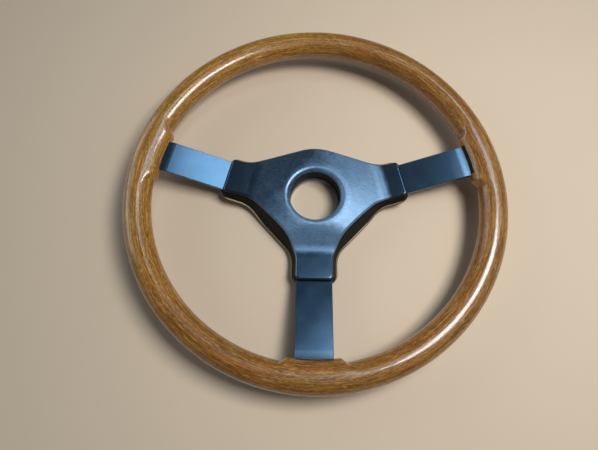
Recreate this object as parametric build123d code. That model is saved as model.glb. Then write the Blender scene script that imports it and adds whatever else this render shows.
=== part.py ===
"""Three-spoke wood-rim steering wheel, as a bench assembly of separate pieces.

Millimetres. The origin is the centre of the flat mounting face at the back of the hub.
+Z runs along the steering axis towards the driver, and +Y points to twelve o'clock.
"""

from build123d import *
import math
import os

# Rim
rim_outer_diameter = 380.0
rim_grip_diameter = 27.0
rim_plane_height = 30.0  # middle of the grip above the mounting face
boss_reach = 4.6  # how far a spoke boss stands in from the plain grip
boss_side_margin = 9.5  # full-height boss beyond each edge of its spoke
boss_fade = 8.0  # length over which a boss dies into the plain grip
boss_crown = 0.1  # how far a boss stands up over the plain grip, front and back
boss_sink = 0.15  # how deep a boss starts and ends inside the plain grip

# Spider: hub disc and three spokes from one plate
plate_thickness = 4.0
side_spoke_angle = 13.8  # of the side spokes above the horizontal
side_spoke_width = 32.2
lower_spoke_width = 35.4
hub_bend_margin = 11.5  # from the bolt circle to the first bend
hub_disc_gap = 0.7  # from the edge of the hub disc to where the bend starts
bend_radius = 28.0  # of a spoke's upper face
rim_bend_gap = 4.5  # from the second bend to the boss
tongue_cover = 9.1  # of wood beyond the end of a spoke
spoke_bevel = 0.5

# Hub stack and its openings
hub_bore_diameter = 50.0
hub_ring_margin = 9.0  # from the bolt circle to the edge of the hub ring
hub_ring_thickness = 3.5
rear_plate_thickness = 1.5
rear_plate_lip = 1.0  # past the foot of the pad
bolt_circle_diameter = 70.0
bolt_hole_diameter = 5.5
bolt_count = 6
hub_rivet_diameter = 4.0
hub_rivet_head_diameter = 7.0
hub_rivet_head_height = 1.2

# Core ring inside the wood and the rivets that hold the spokes to it
core_ring_inset = 1.5  # from the middle of the grip in to the middle of the ring
core_ring_width = 10.0
core_ring_thickness = 3.0
spoke_rivet_diameter = 4.0
spoke_rivet_head_diameter = 7.5
spoke_rivet_head_height = 1.6
spoke_rivet_spacing = 18.0

# Pad
pad_top_height = 29.0
pad_skin_thickness = 1.6
pad_bore_step = 0.5  # pad bore outside the hub bore
pad_bore_rounding = 5.0
pad_crown_radius = 33.0  # flat land round the bore
pad_crown_slope = 0.31  # fall per unit outwards, on the side arms and flanks
pad_lower_slope_start = 34.0
pad_lower_slope = 0.70  # fall per unit outwards, towards the lower arm
pad_cover_height = 5.0  # pad above a spoke
pad_wall_lean = 21.3  # degrees from upright
pad_arm_margin = 0.6  # of the crease beyond the edges of the widest spoke
pad_side_arm_length = 92.0  # at the crease
pad_lower_arm_length = 84.5
pad_crest_distance = 60.0  # at the foot of the wall
pad_crest_slope_angle = 17.0
pad_flank_distance = 55.0
pad_flank_angle = -43.3
pad_crest_radius = 58.0
pad_shoulder_radius = 27.0
pad_flank_radius = 26.0
pad_corner_radius = 13.0

# Pad fixings
armature_thickness = 1.2
armature_side_margin = 4.3  # inside the crease of a pad arm
armature_end_margin = 5.5  # inside the end of the lower pad arm
armature_ring_width = 5.0
armature_ring_gap = 0.5  # outside the room for the bolt heads
bolt_head_room = 6.5
bolt_head_clearance = 5.5  # radial, round the bolt circle
stud_diameter = 5.0
stud_head_diameter = 9.0
stud_head_height = 1.0
stud_distance = 68.0
washer_diameter = 10.0
washer_thickness = 1.0
nut_width = 8.0  # across flats
nut_thickness = 4.0
stud_end = 1.2  # stud showing below its nut

# Clearances
wood_clearance = 0.3
hole_clearance = 0.25
soft_clearance = 0.3

# Worked out
grip_radius = rim_grip_diameter / 2
rim_radius = rim_outer_diameter / 2 - grip_radius
rear_plate_top = hub_ring_thickness + rear_plate_thickness
hub_top = rear_plate_top + plate_thickness
tongue_top = rim_plane_height + plate_thickness / 2
rim_split = rim_plane_height - plate_thickness / 2
boss_inner_radius = rim_radius - grip_radius - boss_reach
core_ring_radius = rim_radius - core_ring_inset
bolt_circle_radius = bolt_circle_diameter / 2
hub_bend = bolt_circle_radius + hub_bend_margin
rim_bend = boss_inner_radius - rim_bend_gap
dish_slope = (tongue_top - hub_top) / (rim_bend - hub_bend)
dish_angle = math.degrees(math.atan(dish_slope))
half_turn = math.tan(math.radians(dish_angle / 2))
hub_disc_radius = hub_bend - (bend_radius + plate_thickness) * half_turn - hub_disc_gap
hub_ring_diameter = bolt_circle_diameter + 2 * hub_ring_margin
tongue_end = rim_outer_diameter / 2 - tongue_cover
pad_bore_radius = hub_bore_diameter / 2 + pad_bore_step
pad_arm_half_width = max(side_spoke_width, lower_spoke_width) / 2 + pad_arm_margin
armature_half_width = pad_arm_half_width - armature_side_margin
armature_reach = pad_lower_arm_length - armature_end_margin
armature_ring_inner_radius = bolt_circle_radius + bolt_head_clearance + armature_ring_gap
wall_lean_slope = math.tan(math.radians(pad_wall_lean))
arm_angles = {"left": 180 - side_spoke_angle, "right": side_spoke_angle, "lower": -90.0}
spoke_widths = {"left": side_spoke_width, "right": side_spoke_width, "lower": lower_spoke_width}
pad_arm_lengths = {
    "left": pad_side_arm_length,
    "right": pad_side_arm_length,
    "lower": pad_lower_arm_length,
}
far = rim_outer_diameter  # longer than anything it has to cut through


def direction(angle):
    """Unit vector in the XY plane."""
    return Vector(math.cos(math.radians(angle)), math.sin(math.radians(angle)), 0)


def arm_side_plane(angle):
    """Upright plane through the axis: local x runs out along the arm, local y is up."""
    outward = direction(angle)
    return Plane(origin=(0, 0, 0), x_dir=outward, z_dir=outward.cross(Vector(0, 0, 1)))


def arm_face_height(distance):
    """Height of the spider's upper face at a distance out along an arm."""
    return hub_top + max(0.0, distance - hub_bend) * dish_slope


def arm_location(angle, distance):
    """Frame on the spider's upper face, with its z at right angles to the spoke."""
    return (
        Rot(0, 0, angle)
        * Pos(distance, 0, arm_face_height(distance))
        * Rot(0, -dish_angle, 0)
    )


def upright_extrusion(angle, outline, half_width):
    """Side profile of an arm, given as (distance, height) points, made solid."""
    face = make_face(Polyline(*outline, close=True))
    return extrude(arm_side_plane(angle) * face, half_width, both=True)


def bent_profile(low, high, out):
    """Side profile of a sheet bent like the hub end of an arm.

    Its faces stand at two offsets from the spider's upper face.
    """
    lower_bend = hub_bend - low * half_turn
    upper_bend = hub_bend - high * half_turn
    outline = [
        (0, hub_top + low),
        (lower_bend, hub_top + low),
        (out, hub_top + low + (out - lower_bend) * dish_slope),
        (out, hub_top + high + (out - upper_bend) * dish_slope),
        (upper_bend, hub_top + high),
        (0, hub_top + high),
    ]
    face = make_face(Polyline(*outline, close=True))
    for point, offset in ((outline[1], low), (outline[4], high)):
        if offset < bend_radius:
            corner = face.vertices().sort_by_distance((*point, 0))[0]
            face = fillet(corner, bend_radius - offset)
    return face


def ring(outer_diameter, inner_diameter, low, high):
    """Flat ring between two heights."""
    face = Circle(outer_diameter / 2) - Circle(inner_diameter / 2)
    return Pos(0, 0, low) * extrude(face, high - low)


def polar(radius, count, start):
    """Evenly spaced places on a circle, as (x, y)."""
    step = 360 / count
    return [tuple(direction(start + step * k) * radius)[:2] for k in range(count)]


def group(solids):
    """Separate solids of one node."""
    return Compound(children=solids)


# ---------------------------------------------------------------- rim


def boss_section(angle, share):
    """Section of a boss at a share of its full height; at none it lies in the grip."""
    sink = boss_sink * (1 - share)
    rise = grip_radius + boss_crown * share - sink
    inward = grip_radius + boss_reach * share - sink
    outward = grip_radius - boss_sink
    centre = direction(angle) * rim_radius + Vector(0, 0, rim_plane_height)
    tangent = direction(angle + 90)
    plane = Plane(origin=centre, x_dir=direction(angle), z_dir=tangent * -1)
    outside = EllipticalCenterArc((0, 0), outward, rise, -90, arc_size=180)
    inside = EllipticalCenterArc((0, 0), inward, rise, 90, arc_size=180)
    return plane * make_face(Wire([outside, inside]))


def boss(name):
    """Swelling of the grip that takes one spoke, eased down at both ends."""
    full = spoke_widths[name] / 2 + boss_side_margin
    fade_steps = 5
    fade = [full + boss_fade * k / fade_steps for k in range(fade_steps + 1)]
    flat = [full * k / 3 for k in (-2, -1, 0, 1, 2)]
    sections = []
    for length in [-end for end in reversed(fade)] + flat + fade:
        left = min(1.0, (full + boss_fade - abs(length)) / boss_fade)
        share = left * left * (3 - 2 * left)
        turn = math.degrees(length / rim_radius)
        sections.append(boss_section(arm_angles[name] + turn, share))
    return loft(sections)


def spoke_end_pockets():
    """Room in the wood for the spoke ends, the core ring and their rivets."""
    room = ring(
        2 * core_ring_radius + core_ring_width + 2 * wood_clearance,
        2 * core_ring_radius - core_ring_width - 2 * wood_clearance,
        rim_split - core_ring_thickness - wood_clearance,
        rim_split,
    )
    for name, angle in arm_angles.items():
        length = tongue_end + wood_clearance - rim_bend
        slot = Box(
            length,
            spoke_widths[name] + 2 * wood_clearance,
            plate_thickness + wood_clearance,
            align=(Align.MIN, Align.CENTER, Align.MIN),
        )
        room += Rot(0, 0, angle) * Pos(rim_bend, 0, rim_split) * slot
    head_room = spoke_rivet_head_height + wood_clearance
    low = rim_split - core_ring_thickness - head_room
    high = tongue_top + head_room
    for place in spoke_rivet_places():
        well = Cylinder(
            spoke_rivet_head_diameter / 2 + wood_clearance,
            high - low,
            align=(Align.CENTER, Align.CENTER, Align.MIN),
        )
        room += Pos(*place, low) * well
    return room


def rim_wood():
    """Front and rear halves of the wood, glued together below the grip's middle."""
    whole = Pos(0, 0, rim_plane_height) * Torus(rim_radius, grip_radius)
    for name in arm_angles:
        whole += boss(name)
    whole -= spoke_end_pockets()
    joint = Plane.XY.offset(rim_split)
    return split(whole, joint, keep=Keep.TOP), split(whole, joint, keep=Keep.BOTTOM)


def rim_core_ring():
    """Steel ring let into the rear half, flush with the glue joint."""
    flat = ring(
        2 * core_ring_radius + core_ring_width,
        2 * core_ring_radius - core_ring_width,
        rim_split - core_ring_thickness,
        rim_split,
    )
    return flat - spoke_rivet_holes()


# ---------------------------------------------------------------- spider


def spoke_rivet_places():
    """Centres of the rivets that join spokes and core ring, as (x, y)."""
    places = []
    half_step = math.degrees(spoke_rivet_spacing / 2 / core_ring_radius)
    for angle in arm_angles.values():
        for side in (-1, 1):
            places.append(tuple(direction(angle + side * half_step) * core_ring_radius)[:2])
    return places


def spoke_rivet_holes():
    """Drilling for the spoke rivets, through spokes and core ring."""
    holes = []
    for place in spoke_rivet_places():
        hole = Cylinder(spoke_rivet_diameter / 2, 3 * plate_thickness)
        holes.append(Pos(*place, rim_split) * hole)
    return holes


def spoke(name):
    """One spoke: flat at the hub, rising with the dish, flat again in the rim."""
    shift = plate_thickness * half_turn
    outline = [
        (0, hub_top),
        (hub_bend, hub_top),
        (rim_bend, tongue_top),
        (tongue_end, tongue_top),
        (tongue_end, rim_split),
        (rim_bend + shift, rim_split),
        (hub_bend + shift, rear_plate_top),
        (0, rear_plate_top),
    ]
    face = make_face(Polyline(*outline, close=True))
    radii = {1: bend_radius, 2: bend_radius, 5: bend_radius - plate_thickness}
    radii[6] = bend_radius + plate_thickness
    for k, radius in radii.items():
        corner = face.vertices().sort_by_distance((*outline[k], 0))[0]
        face = fillet(corner, radius)
    width = spoke_widths[name]
    strip = extrude(arm_side_plane(arm_angles[name]) * face, width / 2, both=True)
    outward = direction(arm_angles[name])
    sideways = direction(arm_angles[name] + 90)

    def is_long_edge(edge):
        middle = edge.center()
        return (
            abs(abs(middle.dot(sideways)) - width / 2) < 0.01
            and middle.dot(outward) > hub_bend - 5
            and middle.dot(outward) < tongue_end - 0.5
        )

    return chamfer(strip.edges().filter_by(is_long_edge), spoke_bevel)


def stud_holes():
    """Holes for the pad studs through spokes and rear plate."""
    holes = []
    radius = stud_diameter / 2 + hole_clearance
    for angle in arm_angles.values():
        hole = Cylinder(radius, 8 * plate_thickness)
        holes.append(arm_location(angle, stud_distance) * hole)
    return holes


def hub_holes():
    """Central bore, bolt holes and rivet holes of the hub stack."""
    depth = 3 * hub_top
    holes = [Cylinder(hub_bore_diameter / 2, depth)]
    for place in polar(bolt_circle_radius, bolt_count, 180 / bolt_count):
        holes.append(Pos(*place, 0) * Cylinder(bolt_hole_diameter / 2, depth))
    for place in polar(bolt_circle_radius, bolt_count, 0):
        holes.append(Pos(*place, 0) * Cylinder(hub_rivet_diameter / 2, depth))
    return holes


def spider():
    """Hub disc and three spokes, pressed from one aluminium plate."""
    plate = ring(2 * hub_disc_radius, hub_bore_diameter, rear_plate_top, hub_top)
    for name in arm_angles:
        plate += spoke(name)
    return plate - hub_holes() - stud_holes() - spoke_rivet_holes()


def spoke_rivets():
    """Rivets through each spoke end and the core ring, with a head at both ends."""
    low = rim_split - core_ring_thickness
    pieces = []
    for place in spoke_rivet_places():
        shank = Cylinder(
            spoke_rivet_diameter / 2,
            tongue_top - low,
            align=(Align.CENTER, Align.CENTER, Align.MIN),
        )
        head = Cone(
            spoke_rivet_head_diameter / 2,
            spoke_rivet_diameter / 2,
            spoke_rivet_head_height,
            align=(Align.CENTER, Align.CENTER, Align.MIN),
        )
        rivet = Pos(0, 0, low) * shank
        rivet += Pos(0, 0, tongue_top) * head
        rivet += Pos(0, 0, low) * Rot(180, 0, 0) * head
        pieces.append((Pos(*place, 0) * rivet).solid())
    return group(pieces)


# ---------------------------------------------------------------- hub


def hub_rivet_sinks():
    """Countersinks in the mounting face for the flush rivet heads."""
    sinks = []
    for place in polar(bolt_circle_radius, bolt_count, 0):
        sink = Cone(
            hub_rivet_head_diameter / 2,
            hub_rivet_diameter / 2,
            hub_rivet_head_height,
            align=(Align.CENTER, Align.CENTER, Align.MIN),
        )
        sinks.append(Pos(*place, 0) * sink)
    return sinks


def hub_ring():
    """Machined ring that makes the flat mounting face."""
    body = ring(hub_ring_diameter, hub_bore_diameter, 0, hub_ring_thickness)
    rims = body.edges().filter_by(GeomType.CIRCLE).group_by(Axis.Z)[0]
    body = chamfer(rims.sort_by(SortBy.RADIUS)[-1], spoke_bevel)
    return body - hub_holes() - hub_rivet_sinks()


def hub_rivets():
    """Rivets through hub ring, rear plate and spider, flush at the mounting face."""
    pieces = []
    for sink, place in zip(hub_rivet_sinks(), polar(bolt_circle_radius, bolt_count, 0)):
        shank = Cylinder(
            hub_rivet_diameter / 2, hub_top, align=(Align.CENTER, Align.CENTER, Align.MIN)
        )
        head = Cylinder(
            hub_rivet_head_diameter / 2,
            hub_rivet_head_height,
            align=(Align.CENTER, Align.CENTER, Align.MIN),
        )
        rivet = sink + Pos(*place, 0) * shank + Pos(*place, hub_top) * head
        pieces.append(rivet.solid())
    return group(pieces)


# ---------------------------------------------------------------- pad


def sector(name):
    """Upright wedge of space round one arm, up to halfway to each next arm."""
    names = ["right", "left", "lower"]
    k = names.index(name)
    own = arm_angles[name]
    ahead = (arm_angles[names[(k + 1) % 3]] - own) % 360 / 2
    behind = (own - arm_angles[names[k - 1]]) % 360 / 2
    corners = [direction(own - behind), direction(own), direction(own + ahead)]
    points = [(0, 0)] + [tuple(c * far)[:2] for c in corners]
    return extrude(make_face(Polyline(*points, close=True)), far, both=True)


def dished_slab(low, high):
    """Slab between two offsets from the spider's upper face, bent with the arms."""
    slab = None
    for name, angle in arm_angles.items():
        face = bent_profile(low, high, far / 2)
        piece = extrude(arm_side_plane(angle) * face, far / 2, both=True) & sector(name)
        slab = piece if slab is None else slab + piece
    return slab


def meet(first, second):
    """Point where two lines meet, each given as (normal angle, distance)."""
    (a, p), (b, q) = first, second
    na, nb = direction(a), direction(b)
    cross = na.X * nb.Y - na.Y * nb.X
    return ((p * nb.Y - q * na.Y) / cross, (q * na.X - p * nb.X) / cross)


def rounded_face(corners, radii):
    """Polygon with an arc at each corner, limited where two arcs share a short edge."""
    count = len(corners)
    points = [Vector(*corner) for corner in corners]
    edges = [points[(k + 1) % count] - points[k] for k in range(count)]
    tangents = []
    for k in range(count):
        turn = math.radians(edges[k - 1].get_angle(edges[k]))
        tangents.append(radii[k] * math.tan(turn / 2))
    shares = [
        min(1.0, edges[k].length / (tangents[k] + tangents[(k + 1) % count]) * 0.98)
        for k in range(count)
    ]
    outline = []
    starts, ends = [], []
    for k in range(count):
        cut = tangents[k] * min(shares[k - 1], shares[k])
        starts.append(points[k] - edges[k - 1].normalized() * cut)
        ends.append(points[k] + edges[k].normalized() * cut)
    for k in range(count):
        outline.append(TangentArc(starts[k], ends[k], tangent=edges[k - 1]))
        outline.append(Line(ends[k], starts[(k + 1) % count]))
    return make_face(outline)


def pad_outline(inset):
    """Y-shaped outline of the pad at the level of the rear plate."""
    foot = rear_plate_top
    edge_angle = math.degrees(math.atan(dish_slope * wall_lean_slope))
    cover_at_axis = hub_top - hub_bend * dish_slope + pad_cover_height
    half = pad_arm_half_width + (cover_at_axis - foot) * wall_lean_slope
    side = pad_arm_lengths["right"]
    lower = pad_arm_lengths["lower"]
    side_end = side + (arm_face_height(side) + pad_cover_height - foot) * wall_lean_slope
    lower_end = lower + (arm_face_height(lower) + pad_cover_height - foot) * wall_lean_slope
    half *= math.cos(math.radians(edge_angle))
    arm = arm_angles["right"]
    lines = [
        (90 - pad_crest_slope_angle, pad_crest_distance),
        (arm + 90 + edge_angle, half),
        (arm, side_end),
        (arm - 90 - edge_angle, half),
        (pad_flank_angle, pad_flank_distance),
        (edge_angle, half),
        (-90, lower_end),
    ]
    mirrored = [(180 - a, d) for a, d in reversed(lines[:-1])]
    lines = [(a, d - inset) for a, d in lines + mirrored]
    corners = [meet(lines[k], lines[(k + 1) % len(lines)]) for k in range(len(lines))]
    right = [
        pad_shoulder_radius + inset,
        pad_corner_radius - inset,
        pad_corner_radius - inset,
        pad_flank_radius + inset,
        pad_flank_radius + inset,
        pad_corner_radius - inset,
    ]
    radii = right + right[::-1] + [pad_crest_radius - inset]
    return rounded_face(corners[::-1], radii[::-1])


def pad_walls(inset):
    """Leaning walls of the pad, from the mounting face up past its top."""
    face = pad_outline(inset - rear_plate_top * wall_lean_slope)
    return extrude(face, rim_plane_height, taper=pad_wall_lean)


def pad_crown(inset):
    """Raised middle of the pad round its bore."""
    bore = pad_bore_radius + inset
    rounding = pad_bore_rounding - inset
    top = pad_top_height - inset
    land = pad_crown_radius
    base_radius = land + top / pad_crown_slope
    profile = make_face(
        [
            Line((bore, 0), (bore, top - rounding)),
            RadiusArc((bore, top - rounding), (bore + rounding, top), rounding),
            Line((bore + rounding, top), (land, top)),
            Line((land, top), (base_radius, 0)),
            Line((base_radius, 0), (bore, 0)),
        ]
    )
    crown = revolve(Plane.XZ * profile, Axis.Z)
    start = pad_lower_slope_start
    cut_outline = [
        (start - top / pad_lower_slope, 2 * top),
        (start + top / pad_lower_slope, 0),
        (far, 0),
        (far, 2 * top),
    ]
    return crown - upright_extrusion(arm_angles["lower"], cut_outline, far)


def pad_arm_cover(name, inset):
    """Outer part of a pad arm, which follows its spoke."""
    out = pad_arm_lengths[name] + far / 8
    start = hub_bend
    cover = pad_cover_height - inset
    outline = [
        (start, 0),
        (out, 0),
        (out, arm_face_height(out) + cover),
        (start, arm_face_height(start) + cover),
    ]
    return upright_extrusion(arm_angles[name], outline, hub_bend)


def pad_body(inset):
    """Whole pad down to the rear plate, drawn in by an inset from its outside."""
    roof = pad_crown(inset)
    for name in arm_angles:
        roof += pad_arm_cover(name, inset)
    body = pad_walls(inset) & roof
    return body & dished_slab(-plate_thickness, pad_top_height)


def spider_room(clearance):
    """Space that the pad leaves for the hub disc and the spokes."""
    disc_radius = hub_disc_radius + clearance
    height = plate_thickness + clearance
    disc = Cylinder(disc_radius, height, align=(Align.CENTER, Align.CENTER, Align.MIN))
    room = Pos(0, 0, rear_plate_top) * disc
    below = -plate_thickness - clearance
    slab = dished_slab(below, clearance)
    for name, angle in arm_angles.items():
        strip = Box(
            far / 2,
            spoke_widths[name] + 2 * clearance,
            far,
            align=(Align.MIN, Align.CENTER, Align.CENTER),
        )
        room += slab & (Rot(0, 0, angle) * strip)
    return room


def armature(clearance=0.0):
    """Steel plate in the foot of the pad: a ring with an arm along each spoke."""
    inner = armature_ring_inner_radius - clearance
    outer = armature_ring_inner_radius + armature_ring_width + clearance
    top = armature_thickness + clearance
    plan = Circle(outer)
    for name, angle in arm_angles.items():
        strip = Rectangle(
            armature_reach + clearance,
            2 * (armature_half_width + clearance),
            align=(Align.MIN, Align.CENTER),
        )
        plan += Rot(0, 0, angle) * strip
    plan -= Circle(inner)
    inside = pad_walls(pad_skin_thickness + soft_clearance - clearance)
    return dished_slab(0, top) & extrude(plan, far) & inside


def stud_parts(clearance=0.0):
    """Head and shank of each pad stud, standing on the armature."""
    parts = []
    drop = plate_thickness + rear_plate_thickness + washer_thickness + nut_thickness + stud_end
    for angle in arm_angles.values():
        head = Cylinder(
            stud_head_diameter / 2 + clearance,
            stud_head_height + clearance,
            align=(Align.CENTER, Align.CENTER, Align.MIN),
        )
        shank = Cylinder(
            stud_diameter / 2,
            drop + armature_thickness,
            align=(Align.CENTER, Align.CENTER, Align.MAX),
        )
        seat = arm_location(angle, stud_distance) * Pos(0, 0, armature_thickness)
        parts.append((seat * (head + shank)).solid())
    return parts


def pad_armature():
    """Armature with the holes that its studs are pressed into."""
    holes = []
    for angle in arm_angles.values():
        hole = Cylinder(stud_diameter / 2, 4 * armature_thickness)
        holes.append(arm_location(angle, stud_distance) * hole)
    return armature() - holes


def pad_skin():
    """Moulded cover over the foam, open at the back and where the spokes leave."""
    return pad_body(0.0) - pad_body(pad_skin_thickness) - spider_room(soft_clearance)


def pad_foam():
    """Foam core between skin, armature and spider."""
    bolt_room = ring(
        bolt_circle_diameter + 2 * bolt_head_clearance,
        bolt_circle_diameter - 2 * bolt_head_clearance,
        hub_top,
        hub_top + bolt_head_room,
    )
    foam = pad_body(pad_skin_thickness) - spider_room(soft_clearance)
    foam -= armature(soft_clearance)
    return foam - bolt_room - stud_parts(soft_clearance)


def rear_plate():
    """Thin steel plate behind the spider, closing the pad from the back."""
    slab = dished_slab(-plate_thickness - rear_plate_thickness, -plate_thickness)
    plate = pad_walls(-rear_plate_lip) & slab
    return plate - hub_holes() - stud_holes()


def stud_hardware(make_piece, drop):
    """One piece of hardware on each stud, its upper face at a drop below the spider's."""
    pieces = []
    for angle in arm_angles.values():
        seat = arm_location(angle, stud_distance) * Pos(0, 0, -drop)
        pieces.append((seat * make_piece()).solid())
    return group(pieces)


def washer():
    """Flat washer hanging down from its upper face."""
    face = Circle(washer_diameter / 2) - Circle(stud_diameter / 2 + hole_clearance)
    return extrude(face, -washer_thickness)


def nut():
    """Hexagon nut hanging down from its upper face, on the stud's thread."""
    face = RegularPolygon(nut_width / 2, 6, major_radius=False) - Circle(stud_diameter / 2)
    return extrude(face, -nut_thickness)


# ---------------------------------------------------------------- assembly


def build():
    """Every node by name."""
    front, rear = rim_wood()
    washer_drop = plate_thickness + rear_plate_thickness
    return {
        "rim_wood_front": front,
        "rim_wood_rear": rear,
        "rim_core_ring": rim_core_ring(),
        "spoke_rivets": spoke_rivets(),
        "spider": spider(),
        "hub_ring": hub_ring(),
        "hub_rivets": hub_rivets(),
        "rear_plate": rear_plate(),
        "pad_skin": pad_skin(),
        "pad_foam": pad_foam(),
        "pad_armature": pad_armature(),
        "pad_studs": group(stud_parts()),
        "stud_washers": stud_hardware(washer, washer_drop),
        "stud_nuts": stud_hardware(nut, washer_drop + washer_thickness),
    }


os.makedirs("parts", exist_ok=True)
for node, shape in build().items():
    export_step(shape, f"parts/{node}.step")
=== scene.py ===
"""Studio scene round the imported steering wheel.

Metres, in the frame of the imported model: the origin is the centre of the mounting face,
+Z runs towards the driver and +Y to twelve o'clock. The rim is worked out in metres. The
pad, and the spokes and plate under it, are worked out in millimetres and scaled by MM.
"""

import math

import bpy
from mathutils import Matrix, Vector


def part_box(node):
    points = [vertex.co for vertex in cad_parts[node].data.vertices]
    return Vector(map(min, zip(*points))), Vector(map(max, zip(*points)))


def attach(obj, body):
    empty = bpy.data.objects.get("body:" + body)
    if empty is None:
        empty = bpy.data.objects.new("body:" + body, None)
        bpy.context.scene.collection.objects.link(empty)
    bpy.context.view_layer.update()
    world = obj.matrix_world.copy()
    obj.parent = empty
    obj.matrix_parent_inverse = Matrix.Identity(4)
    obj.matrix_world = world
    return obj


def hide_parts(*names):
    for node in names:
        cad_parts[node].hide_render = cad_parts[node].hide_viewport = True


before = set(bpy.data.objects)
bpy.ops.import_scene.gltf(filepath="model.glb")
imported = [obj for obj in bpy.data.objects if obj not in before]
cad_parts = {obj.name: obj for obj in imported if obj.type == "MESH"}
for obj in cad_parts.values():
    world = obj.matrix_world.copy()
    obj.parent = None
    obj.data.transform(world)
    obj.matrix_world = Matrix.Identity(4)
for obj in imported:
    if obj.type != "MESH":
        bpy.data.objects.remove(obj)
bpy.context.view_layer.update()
MM = 0.001

# Rim, worked out from the wood's boxes
GRIP_RADIUS = 0.0135
front_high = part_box("rim_wood_front")[1]
rear_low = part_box("rim_wood_rear")[0]
rim_plane = (front_high[2] + rear_low[2]) / 2
rim_radius = front_high[0] - GRIP_RADIUS

# Arms of the spider. A valley is where the pad's crown meets its arm, out from the centre.
ARM_ANGLES = {"left": 166.2, "right": 13.8, "lower": -90.0}
VALLEYS = {"left": 0.061, "right": 0.0705, "lower": 0.0535}
SPOKE_WIDTHS = {"left": 0.0322, "right": 0.0322, "lower": 0.0354}

# Upper face of a spoke: level over the hub, then a straight rise to the rim, in mm
HUB_TOP = 9.0
HUB_BEND = 46.5
RIM_TOP = 32.0
RIM_BEND = 153.9
DISH_SLOPE = (RIM_TOP - HUB_TOP) / (RIM_BEND - HUB_BEND)


def link(obj):
    bpy.context.scene.collection.objects.link(obj)
    return obj


def clamp(x):
    return max(0.0, min(1.0, x))


def smooth_step(x):
    x = clamp(x)
    return x * x * (3 - 2 * x)


def soft_min(a, b, width):
    """Lower of two heights, rounded where they cross."""
    h = clamp(0.5 + 0.5 * (b - a) / width)
    return b + (a - b) * h - width * h * (1 - h)


def soft_max(a, b, width):
    return -soft_min(-a, -b, width)


def direction(angle):
    """Unit vector at an angle in degrees."""
    return Vector((math.cos(math.radians(angle)), math.sin(math.radians(angle))))


def turned(vector, angle):
    """Flat vector turned by an angle in radians."""
    c, s = math.cos(angle), math.sin(angle)
    return Vector((vector.x * c - vector.y * s, vector.x * s + vector.y * c))


def arm_place(angle, x, y):
    """Distance along an arm from the centre, and distance to the side of its axis."""
    along = direction(angle)
    return x * along.x + y * along.y, abs(-x * along.y + y * along.x)


def ring_mesh(name, rows):
    """Quads over a grid of points that closes on itself both ways."""
    count = len(rows[0])
    faces = []
    for j in range(len(rows)):
        a, b = j * count, (j + 1) % len(rows) * count
        for i in range(count):
            n = (i + 1) % count
            faces.append((a + i, a + n, b + n, b + i))
    mesh = bpy.data.meshes.new(name)
    mesh.from_pydata([point for row in rows for point in row], [], faces)
    mesh.shade_smooth()
    return link(bpy.data.objects.new(name, mesh))


# ---------------------------------------------------------------- camera, lights, floor


def make_camera():
    """Camera at the photographed viewing angle."""
    data = bpy.data.cameras.new("camera")
    data.sensor_width = 36.0
    data.lens = 27.09
    data.clip_start = 0.02
    data.clip_end = 20
    cam = link(bpy.data.objects.new("camera", data))
    right = Vector((0.99981, 0.01867, 0.00543)).normalized()
    back = Vector((0.00035, -0.29611, 0.95515)).normalized()
    up = back.cross(right).normalized()
    right = up.cross(back)
    place = Matrix((right, up, back)).transposed().to_4x4()
    place.translation = (-0.01547, -0.16329, 0.44944)
    cam.matrix_world = place
    bpy.context.scene.camera = cam


def area_light(name, centre, size, radiance, colour, width_axis=(1, 0, 0)):
    """Rectangular lamp of a given radiance, facing the origin, with its width along an axis."""
    data = bpy.data.lights.new(name, "AREA")
    data.shape = "RECTANGLE"
    data.size, data.size_y = size
    data.energy = radiance * math.pi * size[0] * size[1]
    data.color = colour
    back = Vector(centre).normalized()
    wide = Vector(width_axis)
    wide = (wide - back * wide.dot(back)).normalized()
    place = Matrix((wide, back.cross(wide), back)).transposed().to_4x4()
    place.translation = centre
    link(bpy.data.objects.new(name, data)).matrix_world = place


def make_world(colour, strength):
    """Even light from all round."""
    world = bpy.data.worlds.new("world")
    world.use_nodes = True
    background = world.node_tree.nodes["Background"]
    background.inputs["Color"].default_value = (*colour, 1)
    background.inputs["Strength"].default_value = strength
    bpy.context.scene.world = world


def make_floor(material, half=6.0, level=-0.0002):
    """Square floor just under the mounting face."""
    signs = [(-1, -1), (1, -1), (1, 1), (-1, 1)]
    corners = [(half * x, half * y, level) for x, y in signs]
    mesh = bpy.data.meshes.new("floor")
    mesh.from_pydata(corners, [], [(0, 1, 2, 3)])
    floor = link(bpy.data.objects.new("floor", mesh))
    floor.data.materials.append(material)


# ---------------------------------------------------------------- materials


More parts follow.
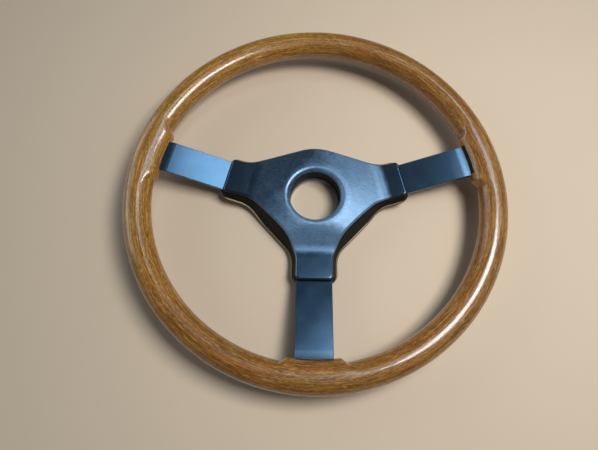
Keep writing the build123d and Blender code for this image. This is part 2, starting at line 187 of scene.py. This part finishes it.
class Shader:
    """Small helper round one node tree."""

    def __init__(self, name, colour, roughness, **settings):
        self.material = bpy.data.materials.new(name)
        self.material.use_nodes = True
        self.tree = self.material.node_tree
        self.surface = self.tree.nodes["Principled BSDF"]
        self.surface.inputs["Base Color"].default_value = (*colour, 1)
        self.surface.inputs["Roughness"].default_value = roughness
        for socket, value in settings.items():
            self.surface.inputs[socket.replace("_", " ")].default_value = value

    def node(self, kind, **settings):
        made = self.tree.nodes.new(kind)
        for key, value in settings.items():
            setattr(made, key, value)
        return made

    def feed(self, value, socket):
        """Sets a socket to a number or a colour, or links a node's output to it."""
        if isinstance(value, (int, float)):
            socket.default_value = value
        elif isinstance(value, tuple):
            socket.default_value = (*value, 1)
        else:
            self.tree.links.new(value, socket)

    def drive(self, socket, source):
        """Links a node's output to the surface shader."""
        self.feed(source, self.surface.inputs[socket])

    def math(self, operation, *values):
        made = self.node("ShaderNodeMath", operation=operation)
        for socket, value in zip(made.inputs, values):
            self.feed(value, socket)
        return made.outputs[0]

    def plus(self, a, b):
        return self.math("ADD", a, b)

    def times(self, a, b):
        return self.math("MULTIPLY", a, b)

    def line(self, value, slope, offset):
        return self.math("MULTIPLY_ADD", value, slope, offset)

    def place(self):
        return self.node("ShaderNodeTexCoord").outputs["Object"]

    def split(self, vector):
        made = self.node("ShaderNodeSeparateXYZ")
        self.feed(vector, made.inputs[0])
        return made.outputs

    def combine(self, *values):
        made = self.node("ShaderNodeCombineXYZ")
        for socket, value in zip(made.inputs, values):
            self.feed(value, socket)
        return made.outputs[0]

    def from_axis(self, x, y):
        """Distance from the steering axis."""
        return self.math("SQRT", self.plus(self.times(x, x), self.times(y, y)))

    def noise(self, vector, scale, detail=2.0, roughness=0.5, w=None):
        dimensions = "3D" if w is None else "4D"
        made = self.node("ShaderNodeTexNoise", noise_dimensions=dimensions)
        self.feed(vector, made.inputs["Vector"])
        if w is not None:
            self.feed(w, made.inputs["W"])
        made.inputs["Scale"].default_value = scale
        made.inputs["Detail"].default_value = detail
        made.inputs["Roughness"].default_value = roughness
        return made.outputs[0]

    def ramp(self, factor, *stops):
        """Colour ramp through stops of a position and a colour."""
        made = self.node("ShaderNodeValToRGB")
        self.feed(factor, made.inputs[0])
        elements = made.color_ramp.elements
        while len(elements) < len(stops):
            elements.new(0.5)
        for element, (position, colour) in zip(elements, stops):
            element.position = position
            element.color = (*colour, 1)
        return made.outputs[0]

    def fade(self, factor, start, end, first=0.0, last=1.0):
        """Grey ramp between two positions."""
        return self.ramp(factor, (start, (first,) * 3), (end, (last,) * 3))

    def spread(self, value, low, high):
        """Spreads a 0 to 1 value over a range."""
        made = self.node("ShaderNodeMapRange")
        self.feed(value, made.inputs["Value"])
        made.inputs["To Min"].default_value = low
        made.inputs["To Max"].default_value = high
        return made.outputs[0]

    def mix(self, factor, a, b, blend="MIX"):
        made = self.node("ShaderNodeMix", data_type="RGBA", blend_type=blend)
        factor_socket, first_colour, second_colour = 0, 6, 7
        self.feed(factor, made.inputs[factor_socket])
        self.feed(a, made.inputs[first_colour])
        self.feed(b, made.inputs[second_colour])
        return made.outputs[2]

    def bump(self, height, distance, strength=1.0, before=None):
        made = self.node("ShaderNodeBump")
        made.inputs["Distance"].default_value = distance
        made.inputs["Strength"].default_value = strength
        self.feed(height, made.inputs["Height"])
        if before is not None:
            self.feed(before, made.inputs["Normal"])
        return made.outputs[0]


def wood_material():
    """Varnished bent laminations: grain, pores and layers follow the ring."""
    s = Shader(
        "rim_wood",
        (0.2, 0.1, 0.03),
        0.45,
        Specular_IOR_Level=0.3,
        Coat_Weight=1.0,
        Coat_Roughness=0.14,
        Coat_IOR=1.5,
    )
    x, y, z = s.split(s.place())
    rho = s.from_axis(x, y)
    cx = s.math("DIVIDE", x, rho)
    cy = s.math("DIVIDE", y, rho)

    def along(per_radian, per_metre, detail=2.0, roughness=0.5):
        """Noise stretched along the ring, by its cells for each radian and metre across."""
        across = s.times(rho, per_metre)
        vector = s.combine(s.times(cx, per_radian), s.times(cy, per_radian), across)
        return s.noise(vector, 1.0, detail, roughness, w=s.times(z, per_metre))

    # Broad figure, with a change of hue and patches of plain brown
    patches = s.noise(s.place(), 22.0, 2.0)
    tone = s.ramp(
        along(4.0, 620, 3.0, 0.6),
        (0.32, (0.145, 0.048, 0.0052)),
        (0.46, (0.255, 0.094, 0.0105)),
        (0.58, (0.335, 0.138, 0.017)),
        (0.72, (0.435, 0.208, 0.033)),
    )
    hue = s.ramp(along(2.5, 160), (0.38, (0.92, 1.12, 0.95)), (0.62, (1.08, 0.92, 1.00)))
    colour = s.mix(0.7, tone, hue, "MULTIPLY")
    colour = s.mix(s.spread(patches, 0.0, 0.35), colour, (0.19, 0.072, 0.008))

    # Dark streaks, pale streaks, pores, and short dark and pale flecks
    streak = s.fade(along(6.0, 1500, 3.0, 0.65), 0.47, 0.57)
    colour = s.mix(s.spread(streak, 0.0, 0.66), colour, (0.105, 0.034, 0.004))
    pale = s.fade(along(7.0, 1300, 2.0, 0.6), 0.56, 0.63)
    colour = s.mix(s.spread(pale, 0.0, 0.60), colour, (0.48, 0.27, 0.08))
    pores = s.fade(along(30.0, 2700, 1.0), 0.62, 0.69)
    colour = s.mix(s.spread(pores, 0.0, 0.7), colour, (0.045, 0.015, 0.002))
    fleck = along(42.0, 1500, 2.0, 0.6)
    colour = s.mix(s.fade(fleck, 0.56, 0.64, 0.0, 0.60), colour, (0.070, 0.024, 0.003))
    colour = s.mix(s.fade(fleck, 0.34, 0.43, 0.55, 0.0), colour, (0.52, 0.30, 0.10))

    # Glue lines between the layers, which are cylinders round the steering axis
    layer_thickness, line_share = 0.0034, 0.07
    layer = s.math("FRACT", s.math("DIVIDE", rho, layer_thickness))
    glue = s.math("LESS_THAN", layer, line_share)
    colour = s.mix(s.times(glue, 0.25), colour, (0.07, 0.024, 0.004))

    # Paler wood towards the upper left: partly faded wood, partly painted light from the left
    faded_and_lit = s.line(x, -7.5, s.line(y, 3.75, -0.17))
    faded_and_lit = s.fade(s.plus(faded_and_lit, s.spread(patches, -0.2, 0.2)), 0.0, 1.0)
    s.drive("Base Color", s.mix(faded_and_lit, colour, (1.36, 1.48, 1.30), "MULTIPLY"))

    made = s.bump(s.noise(s.place(), 45.0, 1.0), 0.0005, 0.15)
    made = s.bump(along(9.0, 900, 1.0), 0.00010, 0.6, made)
    s.drive("Normal", made)
    s.drive("Coat Normal", made)
    return s.material


def slot_shade_material():
    """Painted shade: dark wood round the slots that the spokes run into, where the bosses' inner
    walls lie in shadow.
    """
    s = Shader("rim_wood_slot_shade", (0.016, 0.008, 0.004), 0.6, IOR=1.35)
    grain = s.noise(s.place(), 900.0, 3.0)
    s.drive("Base Color", s.mix(grain, (0.008, 0.004, 0.002), (0.030, 0.014, 0.006)))
    s.drive("Roughness", s.spread(grain, 0.5, 0.7))
    s.drive("Normal", s.bump(grain, 0.0001, 0.5))
    return s.material


def black_metal_material():
    """Satin black plate with a faint brushed grain, rougher close to the rim. The blue of its
    reflections and of its colour is a painted reflection of sky light.
    """
    sky_tint = (0.40, 0.69, 1.0, 1.0)
    s = Shader("spider_black", (0.004, 0.007, 0.012), 0.2, IOR=2.45, Specular_Tint=sky_tint)
    place = s.place()
    x, y, z = s.split(place)
    cloud = s.noise(place, 70.0, 3.0, 0.6)
    fine = s.noise(s.combine(x, s.times(y, 12.0), z), 110.0, 3.0, 0.7)
    rough = s.plus(s.spread(cloud, 0.15, 0.24), s.spread(fine, -0.02, 0.04))
    near_rim = s.fade(s.line(s.from_axis(x, y), 100.0, -14.3), 0.0, 1.0, 0.0, 0.06)
    s.drive("Roughness", s.plus(rough, near_rim))
    brushed = s.fade(fine, 0.35, 0.65)
    s.drive("Base Color", s.mix(brushed, (0.002, 0.005, 0.012), (0.006, 0.014, 0.030)))
    wave = s.bump(s.noise(place, 26.0, 1.0), 0.0010, 0.20)
    s.drive("Normal", s.bump(fine, 0.00004, 0.30, wave))
    return s.material


def past_valley(s, x, y):
    """Largest distance past an arm's valley, which is negative on the crown."""
    found = None
    for name, angle in ARM_ANGLES.items():
        way = direction(angle)
        along = s.plus(s.times(x, way.x), s.times(y, way.y))
        past = s.math("SUBTRACT", along, VALLEYS[name])
        found = past if found is None else s.math("MAXIMUM", found, past)
    return found


def pad_material():
    """Black moulded vinyl: glossy at the arm ends, rubbed and finely scratched in the middle,
    with painted blue sheen of sky light on the crown's lower right and on the lower arm.
    """
    # The blue tint of the reflections is a painted reflection colour of sky light
    sky_tint = (0.42, 0.68, 1.0, 1.0)
    s = Shader("pad_vinyl", (0.004, 0.007, 0.010), 0.4, IOR=2.6, Specular_Tint=sky_tint)
    place = s.place()
    x, y, z = s.split(place)
    soft = s.noise(place, 240.0, 3.0, 0.6)
    waves = s.noise(place, 50.0, 2.0)
    smudge = s.noise(place, 90.0, 3.0, 0.65)
    slanted = s.combine(s.plus(x, s.times(y, 0.45)), s.times(y, 8.0), z)
    scratch = s.fade(s.noise(slanted, 300.0, 3.0, 0.65), 0.46, 0.66)

    # Zones: the crown inside the valleys, its lower right half, which carries painted sheen, and
    # the lower arm
    past = past_valley(s, x, y)
    rubbed = s.line(past, -100.0, 0.65)
    rubbed = s.fade(s.plus(rubbed, s.spread(smudge, -0.15, 0.15)), 0.0, 1.0)
    lit_half = s.line(s.line(x, 0.78, s.times(y, -0.62)), 40.0, 1.30)
    lit_half = s.fade(s.plus(lit_half, s.spread(smudge, -0.5, 0.5)), 0.0, 1.0)
    handled_and_lit = s.times(lit_half, rubbed)
    low = s.fade(s.line(y, -50.0, -2.3), 0.0, 1.0)
    scratches_and_glint = s.times(scratch, s.times(rubbed, s.spread(lit_half, 0.35, 1.0)))

    made = s.bump(waves, 0.0010, 0.20)
    made = s.bump(s.times(soft, s.spread(rubbed, 0.15, 1.0)), 0.0003, 0.40, made)
    s.drive("Normal", s.bump(scratches_and_glint, 0.00006, 0.50, made))

    # Roughness: more where rubbed or handled, in the valleys and on the lower arm, and less
    # along the scratches
    uneven = s.times(s.spread(smudge, -0.08, 0.12), s.spread(rubbed, 0.25, 1.0))
    crease = s.math("MAXIMUM", s.line(s.math("ABSOLUTE", past), -250.0, 1.0), 0.0)
    crease = s.times(crease, s.times(lit_half, 0.22))
    rough = s.plus(s.spread(rubbed, 0.16, 0.28), uneven)
    rough = s.plus(rough, s.line(handled_and_lit, 0.15, crease))
    rough = s.line(low, 0.06, rough)
    s.drive("Roughness", s.line(scratches_and_glint, -0.06, rough))

    # Colour: a faint rubbed haze on the crown; dust together with painted blue sheen on the
    # lower right half; painted blue sheen on the lower arm; the scratches are wear, their pale
    # blue a painted glint
    dust_and_sheen = s.mix(rubbed, (0.003, 0.004, 0.006), (0.006, 0.011, 0.019))
    dust_and_sheen = s.mix(low, dust_and_sheen, (0.008, 0.021, 0.038))
    dust_and_sheen = s.mix(s.times(handled_and_lit, s.spread(smudge, 0.4, 1.0)), dust_and_sheen, (0.072, 0.138, 0.235))
    s.drive("Base Color", s.mix(s.times(scratches_and_glint, 0.8), dust_and_sheen, (0.150, 0.240, 0.350)))
    return s.material


def pad_wall_material():
    """The same vinyl where nothing rubs it: matt, with a fine moulded grain."""
    s = Shader("pad_vinyl_wall", (0.005, 0.004, 0.003), 0.55, IOR=1.2)
    grain = s.noise(s.place(), 1400.0, 2.0)
    s.drive("Roughness", s.spread(grain, 0.45, 0.65))
    s.drive("Base Color", s.mix(grain, (0.004, 0.003, 0.003), (0.009, 0.007, 0.005)))
    s.drive("Normal", s.bump(grain, 0.0001, 0.4))
    return s.material


def metal_material(name, colour, roughness, scale=500.0):
    """Plain or plated metal with a little uneven wear."""
    s = Shader(name, colour, roughness, Metallic=1.0)
    cloud = s.noise(s.place(), scale, 3.0, 0.6)
    s.drive("Roughness", s.spread(cloud, roughness - 0.07, roughness + 0.09))
    dim = tuple(c * 0.8 for c in colour)
    s.drive("Base Color", s.mix(cloud, dim, colour))
    s.drive("Normal", s.bump(cloud, 0.00003, 0.4))
    return s.material


def floor_material():
    """Plain pale card colour."""
    s = Shader("floor", (0.60, 0.465, 0.335), 0.85)
    cloud = s.noise(s.place(), 3.0, 3.0)
    s.drive("Base Color", s.mix(cloud, (0.600, 0.470, 0.345), (0.640, 0.505, 0.375)))
    s.drive("Normal", s.bump(s.noise(s.place(), 300.0, 2.0), 0.0002, 0.3))
    return s.material


# ---------------------------------------------------------------- rim

RIM_STEPS_AROUND = 1080
RIM_STEPS_ACROSS = 80
BOSS_REACH = 0.0044
BOSS_MARGIN = 0.0080
BOSS_FADE = 0.0075
CROWN_FADE = 0.0200
BOSS_GROOVE = 0.0003
GROOVE_WIDTH = 0.0030
FLANK_START = 0.25  # share of the grip's inner half where the boss still fades as on the crown
SLOT_MARGIN = 0.0010
SLOT_TURNS = {"left": 166, "right": 150, "lower": 158}  # round the grip, in degrees
SLOT_LAST_TURN = 196


def from_arm(angle):
    """Nearest arm, and the distance along the rim from its axis."""
    found = None
    for name, arm in ARM_ANGLES.items():
        turn = (angle - arm + 180) % 360 - 180
        length = abs(math.radians(turn)) * rim_radius
        if found is None or length < found[1]:
            found = (name, length)
    return found


def rim_row(angle):
    """Section of the grip at an angle in degrees, with a boss on its inside at a spoke."""
    arm, length = from_arm(angle)
    past = length - SPOKE_WIDTHS[arm] / 2 - BOSS_MARGIN
    foot = (past - BOSS_FADE) / GROOVE_WIDTH
    groove = BOSS_GROOVE * math.exp(-foot * foot)
    along = direction(angle)
    row = []
    for j in range(RIM_STEPS_ACROSS):
        turn = 2 * math.pi * j / RIM_STEPS_ACROSS
        out, rise = math.cos(turn), math.sin(turn)
        half = GRIP_RADIUS
        if out < 0:
            flank = smooth_step((-out - FLANK_START) / (1 - FLANK_START))
            fade = CROWN_FADE + (BOSS_FADE - CROWN_FADE) * flank
            half += BOSS_REACH * smooth_step(1 - past / fade) - groove * flank
        radius = rim_radius + half * out
        row.append((along.x * radius, along.y * radius, rim_plane + GRIP_RADIUS * rise))
    return row


def rim_mesh(name):
    """The whole wooden rim as one smooth skin. Faces at the slots take the second material, a
    painted shade.
    """
    rows = [rim_row(360 * i / RIM_STEPS_AROUND) for i in range(RIM_STEPS_AROUND)]
    rim = ring_mesh(name, rows)
    for face in rim.data.polygons:
        i, j = divmod(face.index, RIM_STEPS_ACROSS)
        arm, length = from_arm(i * 360 / RIM_STEPS_AROUND)
        turn = j * 360 / RIM_STEPS_ACROSS
        beside = length < SPOKE_WIDTHS[arm] / 2 + SLOT_MARGIN
        if beside and SLOT_TURNS[arm] < turn < SLOT_LAST_TURN:
            face.material_index = 1
    rim.data.flip_normals()
    return rim


# ---------------------------------------------------------------- pad, in mm

FOOT = 5.0  # bottom of the pad's walls, and top of the flat plate under them
LEAN = math.tan(math.radians(21.3))  # of the walls, in for each mm up
CROWN_TOP = 29.0
CROWN_LAND = 33.0  # radius of the flat of the crown
CROWN_SLOPE = 0.25
LOWER_START = 31.0  # below the centre, where the crown starts to fall to the lower arm
LOWER_SLOPE = 0.56
COVER = 5.0  # of the arms over the spokes, at the arms' ends
COVER_SLOPES = {"left": 0.06, "right": 0.16, "lower": 0.17}
ARM_ENDS = {"left": 92.0, "right": 92.0, "lower": 84.5}
ARM_HALF = 18.3  # half width of an arm at its roof
ARM_REACH = 30.0  # to the side of an arm's axis, where its roof drops away
CREST_WIDTH = 4.2  # of the rounding between walls and roof
BORE = 25.5
BORE_ROUND = 5.0
UNDERSIDE = 9.25
UNDERSIDE_EDGE = 46.0
PLATE_BEND = 46.9
PLATE_GAP = 0.05
PLATE_ARM_SHARE = 0.61  # of the distance from the centre, to count as on an arm
NOTCH_START = 70.0
NOTCH_SIDE_GAP = 0.4
NOTCH_TOP_GAP = 0.3
OUTLINE_STEP = 1.3


def meet(first, second):
    """Where two lines cross, each given by its normal's angle and its distance."""
    (a, p), (b, q) = first, second
    na, nb = direction(a), direction(b)
    cross = na.x * nb.y - na.y * nb.x
    return Vector(((p * nb.y - q * na.y) / cross, (q * na.x - p * nb.x) / cross))


def spoke_top(s):
    """Height of a spoke's upper face above the mounting face."""
    return HUB_TOP + max(0.0, s - HUB_BEND) * DISH_SLOPE


def end_line(arm):
    """Distance of an arm's end wall from the centre, at foot level."""
    end = ARM_ENDS[arm]
    return end + (spoke_top(end) + COVER - FOOT) * LEAN


def pad_corners():
    """Corners and radii of the pad's outline at foot level."""
    edge = math.degrees(math.atan(DISH_SLOPE * LEAN))
    axis_height = HUB_TOP - HUB_BEND * DISH_SLOPE + COVER
    half = (ARM_HALF + (axis_height - FOOT) * LEAN) * math.cos(math.radians(edge))
    arm = ARM_ANGLES["right"]

    # Top edge, right arm's upper side, end and lower side, flank, lower arm's side and end
    lines = [
        (73.0, 60.0),
        (arm + 90 + edge, half),
        (arm, end_line("right")),
        (arm - 90 - edge, half),
        (-43.3, 55.0),
        (edge, half),
        (-90, end_line("lower")),
    ]
    lines += [(180 - a, d) for a, d in reversed(lines[:-1])]
    corners = [meet(lines[k], lines[(k + 1) % len(lines)]) for k in range(len(lines))]
    right = [27.0, 10.5, 10.5, 26.0, 26.0, 11.0]
    radii = right + right[::-1] + [58.0]
    return corners[::-1], radii[::-1]


def rounded_outline(corners, radii, step):
    """Points and inward normals round a polygon with an arc at each corner."""
    count = len(corners)
    edges = [corners[(k + 1) % count] - corners[k] for k in range(count)]
    turns, cuts = [], []
    for k in range(count):
        a, b = edges[k - 1], edges[k]
        turns.append(math.atan2(a.x * b.y - a.y * b.x, a.dot(b)))
        cuts.append(radii[k] * math.tan(abs(turns[k]) / 2))

    # Arcs are made smaller where an edge is too short for both of its arcs
    fill = 0.98
    sums = [cuts[k] + cuts[(k + 1) % count] for k in range(count)]
    shares = [min(1.0, edge.length / total * fill) for edge, total in zip(edges, sums)]
    cuts = [cuts[k] * min(shares[k - 1], shares[k]) for k in range(count)]

    found = []
    for k in range(count):
        a, b = edges[k - 1].normalized(), edges[k].normalized()
        radius = cuts[k] / math.tan(abs(turns[k]) / 2)
        start = corners[k] - a * cuts[k]
        normal = Vector((-a.y, a.x))
        centre = start + normal * radius * math.copysign(1, turns[k])
        steps = max(4, round(radius * abs(turns[k]) / step))
        for j in range(steps):
            angle = turns[k] * j / steps
            found.append((centre + turned(start - centre, angle), turned(normal, angle)))

        after = (k + 1) % count
        end = corners[k] + b * cuts[k]
        run = corners[after] - b * cuts[after] - end
        steps = max(1, round(run.length / step))
        inward = Vector((-b.y, b.x))
        found += [(end + run * (j / steps), inward) for j in range(steps)]
    return found


def pad_roof(x, y):
    """Height of the pad's top: the crown, and the roofs of the three arms."""
    past_land = soft_max(0.0, math.hypot(x, y) - CROWN_LAND, 4.0)
    crown = CROWN_TOP - CROWN_SLOPE * past_land
    fall = CROWN_TOP - LOWER_SLOPE * (-y - LOWER_START)
    roof = soft_min(crown, fall, 2.5)
    for name, angle in ARM_ANGLES.items():
        s, t = arm_place(angle, x, y)
        end = ARM_ENDS[name]
        cover = spoke_top(end) + COVER - COVER_SLOPES[name] * (end - s)
        cover -= max(0.0, HUB_BEND - s)
        cover -= max(0.0, t - ARM_REACH) * 2.0
        roof = soft_max(roof, cover, 2.4)
    return roof


def plate_top(x, y):
    """Height of the plate under the pad."""
    height = FOOT
    for angle in ARM_ANGLES.values():
        s, _ = arm_place(angle, x, y)
        if s > math.hypot(x, y) * PLATE_ARM_SHARE:
            height = FOOT + max(0.0, s - PLATE_BEND) * DISH_SLOPE
    return height


def spoke_notch(x, y):
    """Height that the pad's foot keeps above over a spoke near the arm's end, or 0 elsewhere."""
    for name, angle in ARM_ANGLES.items():
        s, t = arm_place(angle, x, y)
        if s > NOTCH_START and t < SPOKE_WIDTHS[name] / MM / 2 + NOTCH_SIDE_GAP:
            return spoke_top(s) + NOTCH_TOP_GAP
    return 0.0


# Rows of the pad's mesh, from the foot over the roof, down the bore and back underneath
WALL_ROWS = 6
CREST_ROWS = 14
ROOF_ROWS = 50
LIP_ROWS = 8
BORE_ROWS = 5
UNDERSIDE_ROWS = 3
CLOSING_ROWS = 4
MATT_WALL_ROWS = 10
GLOSSY_LIP_ROWS = 6
CREST_BEFORE = 1.6
CREST_LENGTH = 4.0


def wall_ends(point, inward):
    """How far in from the outline the wall stands at its foot, and meets the roof.

    Each depends on the height found there, so it is worked out by repeating.
    """
    u_foot = 0.0
    for _ in range(8):
        p = point + inward * u_foot
        level = max(plate_top(p.x, p.y) + PLATE_GAP, spoke_notch(p.x, p.y))
        u_foot = (level - FOOT) * LEAN
    u_crease = 6.0
    for _ in range(12):
        p = point + inward * u_crease
        u_crease = (pad_roof(p.x, p.y) - FOOT) * LEAN
    return u_foot, u_crease


def pad_column(point, inward):
    """One closed section of the pad: wall, crest, roof, bore and underside."""
    u_foot, u_crease = wall_ends(point, inward)
    first = u_crease - CREST_BEFORE
    us = [u_foot + (first - u_foot) * j / WALL_ROWS for j in range(WALL_ROWS)]
    us += [first + CREST_LENGTH * j / (CREST_ROWS - 1) for j in range(CREST_ROWS)]
    column = []
    for u in us:
        p = point + inward * u
        height = soft_min(FOOT + u / LEAN, pad_roof(p.x, p.y), CREST_WIDTH)
        column.append((p.x, p.y, height))

    last = point + inward * us[-1]
    outer, inner = last.length, BORE + BORE_ROUND
    for j in range(1, ROOF_ROWS + 1):
        r = outer + (inner - outer) * (j / ROOF_ROWS)
        p = last * (r / outer)
        wall = FOOT + (us[-1] + (outer - r)) / LEAN
        column.append((p.x, p.y, soft_min(wall, pad_roof(p.x, p.y), CREST_WIDTH)))

    unit = last / outer

    def add(r, z):
        column.append((unit.x * r, unit.y * r, z))

    top = pad_roof(unit.x * inner, unit.y * inner)
    for j in range(1, LIP_ROWS + 1):
        a = math.pi / 2 * j / LIP_ROWS
        add(inner - BORE_ROUND * math.sin(a), top - BORE_ROUND * (1 - math.cos(a)))
    for j in range(1, BORE_ROWS + 1):
        add(BORE, top - BORE_ROUND + (UNDERSIDE - top + BORE_ROUND) * j / BORE_ROWS)
    for j in range(1, UNDERSIDE_ROWS + 1):
        add(BORE + (UNDERSIDE_EDGE - BORE) * j / UNDERSIDE_ROWS, UNDERSIDE)

    edge, start = Vector(column[-1]), Vector(column[0])
    for j in range(1, CLOSING_ROWS + 1):
        column.append(tuple(edge + (start - edge) * j / (CLOSING_ROWS + 1)))
    return column


def pad_mesh(name):
    """Moulded pad. Its walls, bore and underside take the second material."""
    samples = rounded_outline(*pad_corners(), OUTLINE_STEP)
    columns = []
    for point, inward in samples:
        columns.append([tuple(c * MM for c in v) for v in pad_column(point, inward)])
    pad = ring_mesh(name, list(zip(*columns)))
    glossy_end = WALL_ROWS + CREST_ROWS + ROOF_ROWS + GLOSSY_LIP_ROWS
    for face in pad.data.polygons:
        row = face.index // len(columns)
        face.material_index = int(row < MATT_WALL_ROWS or row >= glossy_end)
    return pad


# ---------------------------------------------------------------- scene

SKY_BLUE = (0.62, 0.84, 1.0)
PALE_BLUE = (0.85, 0.93, 1.0)
WINDOW_WHITE = (0.98, 0.98, 0.96)

make_camera()
make_floor(floor_material())
area_light("window_core", (0.36, 0.02, 0.80), (0.38, 0.29), 19, WINDOW_WHITE, (0.55, 0.84, 0))
area_light("sky_near", (0.615, 1.00, 3.0), (0.69, 0.76), 6.0, SKY_BLUE)
area_light("sky_far", (1.64, 0.98, 3.0), (1.30, 0.80), 1.9, SKY_BLUE)
area_light("sky_side", (0.72, -0.15, 0.86), (0.36, 0.70), 0.65, SKY_BLUE)
area_light("sky_left", (-2.76, 1.035, 1.15), (2.53, 1.955), 1.7, PALE_BLUE, (0, 1, 0))
make_world((0.76, 0.89, 1.0), 0.075)

wood = wood_material()
vinyl = pad_material()
steel = metal_material("steel_plain", (0.50, 0.51, 0.53), 0.38)
zinc = metal_material("steel_zinc", (0.62, 0.60, 0.55), 0.35)
alloy = metal_material("hub_alloy", (0.66, 0.67, 0.68), 0.32, 300.0)
node_materials = {
    "spider": black_metal_material(),
    "rim_wood_front": wood,
    "rim_wood_rear": wood,
    "pad_skin": vinyl,
    "pad_foam": vinyl,
    # Rear plate: its brown tint is a painted reflection of the floor
    "rear_plate": metal_material("steel_dull", (0.22, 0.165, 0.11), 0.50),
    "rim_core_ring": steel,
    "pad_armature": steel,
    "hub_ring": alloy,
    "hub_rivets": alloy,
    "spoke_rivets": alloy,
}
for name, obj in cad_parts.items():
    obj.data.materials.clear()
    obj.data.materials.append(node_materials.get(name, zinc))

rim = rim_mesh("rim_wood_skin")
rim.data.materials.append(wood)
rim.data.materials.append(slot_shade_material())
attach(rim, "root")
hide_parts("rim_wood_front", "rim_wood_rear")

pad = pad_mesh("pad_cover")
pad.data.materials.append(vinyl)
pad.data.materials.append(pad_wall_material())
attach(pad, "root")
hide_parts("pad_skin", "pad_foam")

bpy.context.scene.view_settings.view_transform = "Standard"
